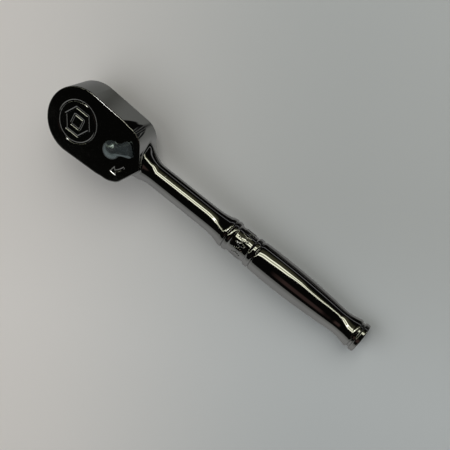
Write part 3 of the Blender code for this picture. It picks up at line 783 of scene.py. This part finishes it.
def turned_ring(inner, outer, bottom, top, edge, sides=160):
    """A flat ring with broken edges: four turned bands."""
    levels = (bottom, bottom + edge, top - edge, top)

    def band(radius_at):
        heights = np.array(levels)
        radii = np.array([radius_at[0], radius_at[1], radius_at[1], radius_at[0]])

        def radius_of(height, angle):
            return np.interp(height, heights, radii)

        return turned(heights, radius_of, sides, up_drive, (0, 0, 0))

    def cap(height, facing):
        angles = np.arange(sides) * 2 * math.pi / sides
        rows = np.linspace(inner + edge, outer - edge, 6)
        level = np.full(sides, height)
        points = np.stack([np.stack((r * np.cos(angles), r * np.sin(angles), level), -1) for r in rows])
        quads = ring_quads(len(rows), sides)
        quads = quads if facing > 0 else quads[:, ::-1]
        return points.reshape(-1, 3), quads, np.tile((0, 0, float(facing)), (quads.size, 1))

    outside = band((outer - edge, outer))
    inside = band((inner + edge, inner))
    inside = inside[0], inside[1][:, ::-1], -inside[2].reshape(-1, 4, 3)[:, ::-1].reshape(-1, 3)
    return joined(outside, inside, cap(top, 1), cap(bottom, -1))


# ---------------------------------------------------------------- materials

def material(name, colour, roughness, metallic=1.0):
    """A new material with its node helper, its shader and the object's own coordinates."""
    made = bpy.data.materials.new(name)
    made.use_nodes = True
    nodes = Nodes(made.node_tree)
    shader = made.node_tree.nodes["Principled BSDF"]
    shader.inputs["Base Color"].default_value = (*colour, 1)
    shader.inputs["Roughness"].default_value = roughness
    shader.inputs["Metallic"].default_value = metallic
    if metallic:
        shader.inputs["Specular Tint"].default_value = (*EDGE_TINT, 1)
    place = nodes.new("ShaderNodeTexCoord").outputs["Object"]
    return made, nodes, shader, place


def bump(nodes, shader, height, strength, distance):
    """Relief from a height, distance in metres."""
    node = nodes.new("ShaderNodeBump")
    node.inputs["Strength"].default_value = strength
    node.inputs["Distance"].default_value = distance
    nodes.put(node.inputs["Height"], height)
    nodes.put(shader.inputs["Normal"], node.outputs["Normal"])


def stretched(nodes, place, scale):
    node = nodes.new("ShaderNodeMapping")
    node.inputs["Scale"].default_value = scale
    nodes.put(node.inputs["Vector"], place)
    return node.outputs["Vector"]


def dark_chrome():
    """Polished dark plate: faint smudges, hairline scratches, and a slow orange peel."""
    made, nodes, shader, place = material("dark_chrome_look", CHROME, 0.05)
    smudge = nodes.noise(60, 3, 0.6, place)
    tone = nodes.smooth(smudge, 0.3, 0.75)
    nodes.put(shader.inputs["Base Color"], nodes.mix(tone, (*CHROME, 1), (*CHROME_WORN, 1)))
    scratch = nodes.noise(1, 2, 0.5, stretched(nodes, place, (300, 9000, 9000)))
    line = nodes.smooth(scratch, 0.66, 0.74)
    rough = nodes.math("ADD", nodes.smooth(smudge, 0.35, 0.8, 0.035, 0.085), nodes.times(line, 0.09))
    nodes.put(shader.inputs["Roughness"], rough)
    bump(nodes, shader, nodes.noise(240, 1, 0.4, place), 0.04, 0.00006)
    return made


def bright_steel():
    """Polished steel with a soft satin wear that follows handling."""
    made, nodes, shader, place = material("bright_steel_look", STEEL, 0.2, 0.93)
    wear = nodes.noise(420, 4, 0.6, place)
    tone = nodes.smooth(wear, 0.3, 0.7)
    nodes.put(shader.inputs["Base Color"], nodes.mix(tone, STEEL_DARK, STEEL_PALE))
    nodes.put(shader.inputs["Roughness"], nodes.smooth(wear, 0.3, 0.75, 0.19, 0.27))
    bump(nodes, shader, nodes.noise(1500, 2, 0.5, place), 0.10, 0.00004)
    return made


def machined_steel():
    """Hardened steel with fine rings from the lathe about the drive axis."""
    made, nodes, shader, place = material("gear_steel_look", GEAR, 0.3)
    split = nodes.new("ShaderNodeSeparateXYZ")
    nodes.put(split.inputs[0], place)
    x, y, z = split.outputs
    radius = nodes.math("SQRT", nodes.math("ADD", nodes.times(x, x), nodes.times(y, y)))
    rings = nodes.new("ShaderNodeCombineXYZ")
    nodes.put(rings.inputs[0], nodes.times(radius, 5200.0))
    nodes.put(rings.inputs[1], nodes.times(z, 900.0))
    grain = nodes.noise(1, 3, 0.6, rings.outputs[0])
    stain = nodes.noise(180, 4, 0.6, place)
    tone = nodes.smooth(stain, 0.3, 0.75)
    nodes.put(shader.inputs["Base Color"], nodes.mix(tone, GEAR_DARK, GEAR_PALE))
    nodes.put(shader.inputs["Roughness"], nodes.smooth(grain, 0.2, 0.8, 0.22, 0.40))
    bump(nodes, shader, grain, 0.25, 0.00003)
    return made


def spring_steel():
    """Blued wire and strip, with patches of darker scale."""
    made, nodes, shader, place = material("spring_steel_look", SPRING, 0.3)
    scale = nodes.noise(700, 4, 0.6, place)
    tone = nodes.smooth(scale, 0.3, 0.7)
    nodes.put(shader.inputs["Base Color"], nodes.mix(tone, SPRING_DARK, SPRING_PALE))
    nodes.put(shader.inputs["Roughness"], nodes.smooth(scale, 0.3, 0.7, 0.24, 0.42))
    bump(nodes, shader, scale, 0.15, 0.00003)
    return made


def seal_rubber():
    """Matt black rubber with a fine grain."""
    made, nodes, shader, place = material("seal_rubber_look", RUBBER, 0.6, 0.0)
    grain = nodes.noise(2500, 3, 0.6, place)
    tone = nodes.smooth(grain, 0.3, 0.7)
    nodes.put(shader.inputs["Base Color"], nodes.mix(tone, RUBBER_DARK, RUBBER_PALE))
    nodes.put(shader.inputs["Roughness"], nodes.smooth(grain, 0.3, 0.7, 0.5, 0.75))
    bump(nodes, shader, grain, 0.3, 0.00004)
    return made


LOOKS = {
    "dark_chrome": dark_chrome(), "bright_steel": bright_steel(), "gear_steel": machined_steel(),
    "spring_steel": spring_steel(), "seal_rubber": seal_rubber(),
}


def dress_cad_nodes():
    """Every CAD node takes the procedural look of the slot the record gives it."""
    for row in frame["record"]["subparts"]:
        node = frame["nodes"][row["node"]]
        for slot in node.material_slots:
            slot.material = LOOKS[row["material_slot"]]


# ---------------------------------------------------------------- floor, light and surroundings

def make_floor():
    """A pale sheet that the drive square's edge and the handle's end both stand on.

    Its tone runs from warm to cool across it, and is paler on the near side: painted light and shade, lit
    and warm one way, shaded and cool the other. It is clear from below.
    """
    mesh = bpy.data.meshes.new("floor")
    reach = FLOOR_REACH
    corners = [(-reach, -reach, 0), (reach, -reach, 0), (reach, reach, 0), (-reach, reach, 0)]
    mesh.from_pydata(corners, [], [(0, 1, 2, 3)])
    made, nodes, shader, place = material("pale_floor", (0.5, 0.5, 0.49), 0.65, 0.0)
    shader.inputs["Specular IOR Level"].default_value = 0.2
    split = nodes.new("ShaderNodeSeparateXYZ")
    nodes.put(split.inputs[0], place)
    x, y, _ = split.outputs
    # Painted light and shade: the floor is paler and warmer towards one side and towards the near side,
    # darker and cooler away from them
    across = nodes.math("ADD", nodes.times(x, FLOOR_ACROSS[0]), nodes.times(y, FLOOR_ACROSS[1]))
    tone = nodes.smooth(across, *FLOOR_SHADED_COOLING)
    near = nodes.math("SUBTRACT", nodes.times(x, FLOOR_TOWARDS[0]), nodes.times(y, FLOOR_TOWARDS[1]))
    near = nodes.smooth(near, *FLOOR_LIT_PALING)
    far_side = nodes.mix(tone, FLOOR_LIT_WARM, FLOOR_SHADED_COOL)
    lit_near_side = nodes.mix(tone, FLOOR_LIT_WARM_NEAR, FLOOR_SHADED_COOL_NEAR)
    nodes.put(shader.inputs["Base Color"], nodes.mix(near, far_side, lit_near_side))
    bump(nodes, shader, nodes.noise(300, 5, 0.6, place), 0.05, 0.0002)
    see_through = nodes.new("ShaderNodeMixShader")
    nodes.put(see_through.inputs[0], nodes.new("ShaderNodeNewGeometry").outputs["Backfacing"])
    nodes.put(see_through.inputs[1], shader.outputs[0])
    nodes.put(see_through.inputs[2], nodes.new("ShaderNodeBsdfTransparent").outputs[0])
    nodes.put(made.node_tree.nodes["Material Output"].inputs["Surface"], see_through.outputs[0])
    mesh.materials.append(made)
    floor = bpy.data.objects.new("floor", mesh)
    bpy.context.scene.collection.objects.link(floor)
    rest_x = DRIVE_EDGE * MM
    slope = math.atan2((AXIS_Z - END_RADIUS) * MM, HANDLE_END * MM - rest_x)
    floor.matrix_world = Matrix.Translation((rest_x, 0, -FLOOR_GAP)) @ Matrix.Rotation(-slope, 4, "Y")
    floor.visible_glossy = False


def make_backdrop():
    """A pale shell that only the camera sees, so that low views have a plain background."""
    mesh = bpy.data.meshes.new("backdrop")
    shell = bmesh.new()
    bmesh.ops.create_icosphere(shell, subdivisions=4, radius=BACKDROP_RADIUS)
    shell.to_mesh(mesh)
    shell.free()
    made = bpy.data.materials.new("pale_backdrop")
    made.use_nodes = True
    nodes = Nodes(made.node_tree)
    glow = nodes.new("ShaderNodeEmission")
    glow.inputs["Color"].default_value = BACKDROP
    nodes.put(made.node_tree.nodes["Material Output"].inputs["Surface"], glow.outputs[0])
    mesh.materials.append(made)
    backdrop = bpy.data.objects.new("backdrop", mesh)
    bpy.context.scene.collection.objects.link(backdrop)
    for kind in ("glossy", "diffuse", "shadow", "transmission", "volume_scatter"):
        setattr(backdrop, "visible_" + kind, False)


def make_lamp(name, at, size, power, colour):
    """A soft round lamp aimed at the tool's middle, unseen in the polish."""
    data = bpy.data.lights.new(name, "AREA")
    data.shape = "DISK"
    data.size = size
    data.energy = power
    data.color = colour
    lamp = bpy.data.objects.new(name, data)
    aim = LAMPS_TO - Vector(at)
    lamp.matrix_world = Matrix.Translation(at) @ aim.to_track_quat("-Z", "Y").to_matrix().to_4x4()
    lamp.visible_glossy = False
    bpy.context.scene.collection.objects.link(lamp)


def make_surroundings():
    """What the polish reflects: a dark room, the pale table below, a long twin-tube strip light, and a
    painted reflection of the handle's shank.
    """
    world = bpy.data.worlds.new("studio")
    bpy.context.scene.world = world
    world.use_nodes = True
    nodes = Nodes(world.node_tree)
    direction = nodes.new("ShaderNodeTexCoord").outputs["Generated"]
    split = nodes.new("ShaderNodeSeparateXYZ")
    nodes.put(split.inputs[0], direction)
    x, y, z = split.outputs
    turn = nodes.times(nodes.math("ARCTAN2", y, z), 180 / math.pi)
    up = nodes.math("ADD", nodes.times(y, TABLE_UP[0]), nodes.times(z, TABLE_UP[1]))

    table = nodes.smooth(up, *TABLE_EDGE)
    deep = nodes.smooth(up, *TABLE_DEPTH)
    colour = nodes.mix(table, ROOM, nodes.mix(deep, TABLE_FAR, TABLE_NEAR))

    bend = nodes.math("MAXIMUM", nodes.math("SUBTRACT", x, BEND_FROM), 0.0)
    bend = nodes.times(nodes.math("MINIMUM", bend, BEND_REACH), BEND_SLANT)
    centre = nodes.math("SUBTRACT", nodes.math("MULTIPLY_ADD", x, STRIP_SLANT, STRIP_TURN), bend)
    from_strip = nodes.math("SUBTRACT", turn, centre)
    thinner_ahead = nodes.smooth(x, *THINNER_AHEAD)
    thinner_behind = nodes.smooth(x, *THINNER_BEHIND)
    from_strip = nodes.times(from_strip, thinner_ahead, thinner_behind)
    length = nodes.times(nodes.smooth(x, *TUBES_END_AHEAD), nodes.smooth(x, *TUBES_END_BEHIND))
    above = nodes.smooth(up, *CLEAR_OF_TABLE)
    halo = nodes.times(nodes.band(from_strip, *HALO_TURN), above)
    colour = nodes.mix(halo, colour, HALO)
    housing = nodes.times(nodes.band(from_strip, *HOUSING_TURN), above)
    colour = nodes.mix(housing, colour, HOUSING)
    tubes = nodes.band(nodes.math("ABSOLUTE", from_strip), *TUBE_TURN)
    colour = nodes.mix(nodes.times(tubes, above, length), colour, STRIP)
    bulb = nodes.times(nodes.band(from_strip, *BULB_TURN), nodes.band(x, *BULB_ALONG), above)
    colour = nodes.mix(bulb, colour, BULB)

    second = nodes.times(nodes.band(turn, *FAINT_LINE_TURN), above)
    colour = nodes.mix(second, colour, FAINT_LINE)

    red = nodes.times(nodes.band(turn, *RED_TURN), nodes.band(x, *RED_ALONG))
    colour = nodes.mix(red, colour, RED_PATCH)

    dim = nodes.times(nodes.band(x, *DIM_ALONG), nodes.band(turn, *DIM_TURN))
    colour = nodes.mix(dim, colour, DIM_PATCH)

    # A painted reflection of the handle's dark shank and its bright lines, set in the surroundings where
    # the head's rear corner reflects it
    slanted = nodes.math("ADD", turn, nodes.times(x, STRIPE_SLANT))
    stripes = nodes.band(nodes.math("PINGPONG", slanted, STRIPE_PITCH), *STRIPE_TURN)
    painted_shank_reflection = nodes.times(nodes.band(x, *STRIPED_ALONG), nodes.band(turn, *STRIPED_TURN))
    painted_shank_reflection = nodes.times(painted_shank_reflection, nodes.smooth(up, *STRIPED_FADE))
    colour = nodes.mix(painted_shank_reflection, colour, nodes.mix(stripes, SHANK_REFLECTION_DARK, SHANK_REFLECTION_PALE))

    background = world.node_tree.nodes["Background"]
    nodes.put(background.inputs["Color"], colour)
    background.inputs["Strength"].default_value = 1.0


# ---------------------------------------------------------------- the scene

def make_pieces():
    """The finer meshes, each on its CAD body and in place of one CAD node."""
    head_step, lever_step, drive_step, snap_step = STEPS
    head_box = (body_low[0], body_low[1], HEAD_LOW), (HEAD_MESH_END + 0.1, body_high[1], HEAD_HIGH)
    body = joined(field_mesh(head_field, *head_box, head_step), make_handle())
    add_piece("body_shell", body, "body", "dark_chrome", LOOKS["dark_chrome"], "ratchet_body")

    lever = field_mesh(lever_field, *in_mm(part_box("reversing_lever")), lever_step)
    add_piece("lever_shell", lever, "lever", "bright_steel", LOOKS["bright_steel"], "reversing_lever")

    drive = field_mesh(drive_field, *in_mm(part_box("drive_gear")), drive_step)
    add_piece("drive_shell", drive, "drive", "gear_steel", LOOKS["gear_steel"], "drive_gear")

    snap = field_mesh(snap_ring_field, *in_mm(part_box("cover_retaining_ring")), snap_step)
    add_piece("snap_ring", snap, "body", "spring_steel", LOOKS["spring_steel"], "cover_retaining_ring")

    cover = turned_ring(COVER_INNER, COVER_OUTER, COVER_LOW, COVER_HIGH, 0.15)
    add_piece("cover_disc", cover, "body", "gear_steel", LOOKS["gear_steel"], "cover_plate")

    low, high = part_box("anvil_detent_ball")
    centre = np.array((low + high) / 2) / MM

    def ball_field(points):
        return np.linalg.norm(points - centre, axis=-1) - BALL_RADIUS

    ball = field_mesh(ball_field, centre - BALL_RADIUS, centre + BALL_RADIUS, BALL_STEP)
    add_piece("anvil_ball_shell", ball, "anvil_ball", "bright_steel", LOOKS["bright_steel"],
              "anvil_detent_ball")


dress_cad_nodes()
make_pieces()
make_floor()
make_backdrop()
make_lamp("key_soft", (0.10, 0.60, 0.58), 0.6, 4.5, (1.0, 0.99, 0.98))
make_lamp("fill_soft", (-0.30, -0.22, 0.85), 1.1, 4.4, (0.97, 0.98, 1.0))
make_surroundings()
bpy.context.scene.view_settings.view_transform = "Standard"
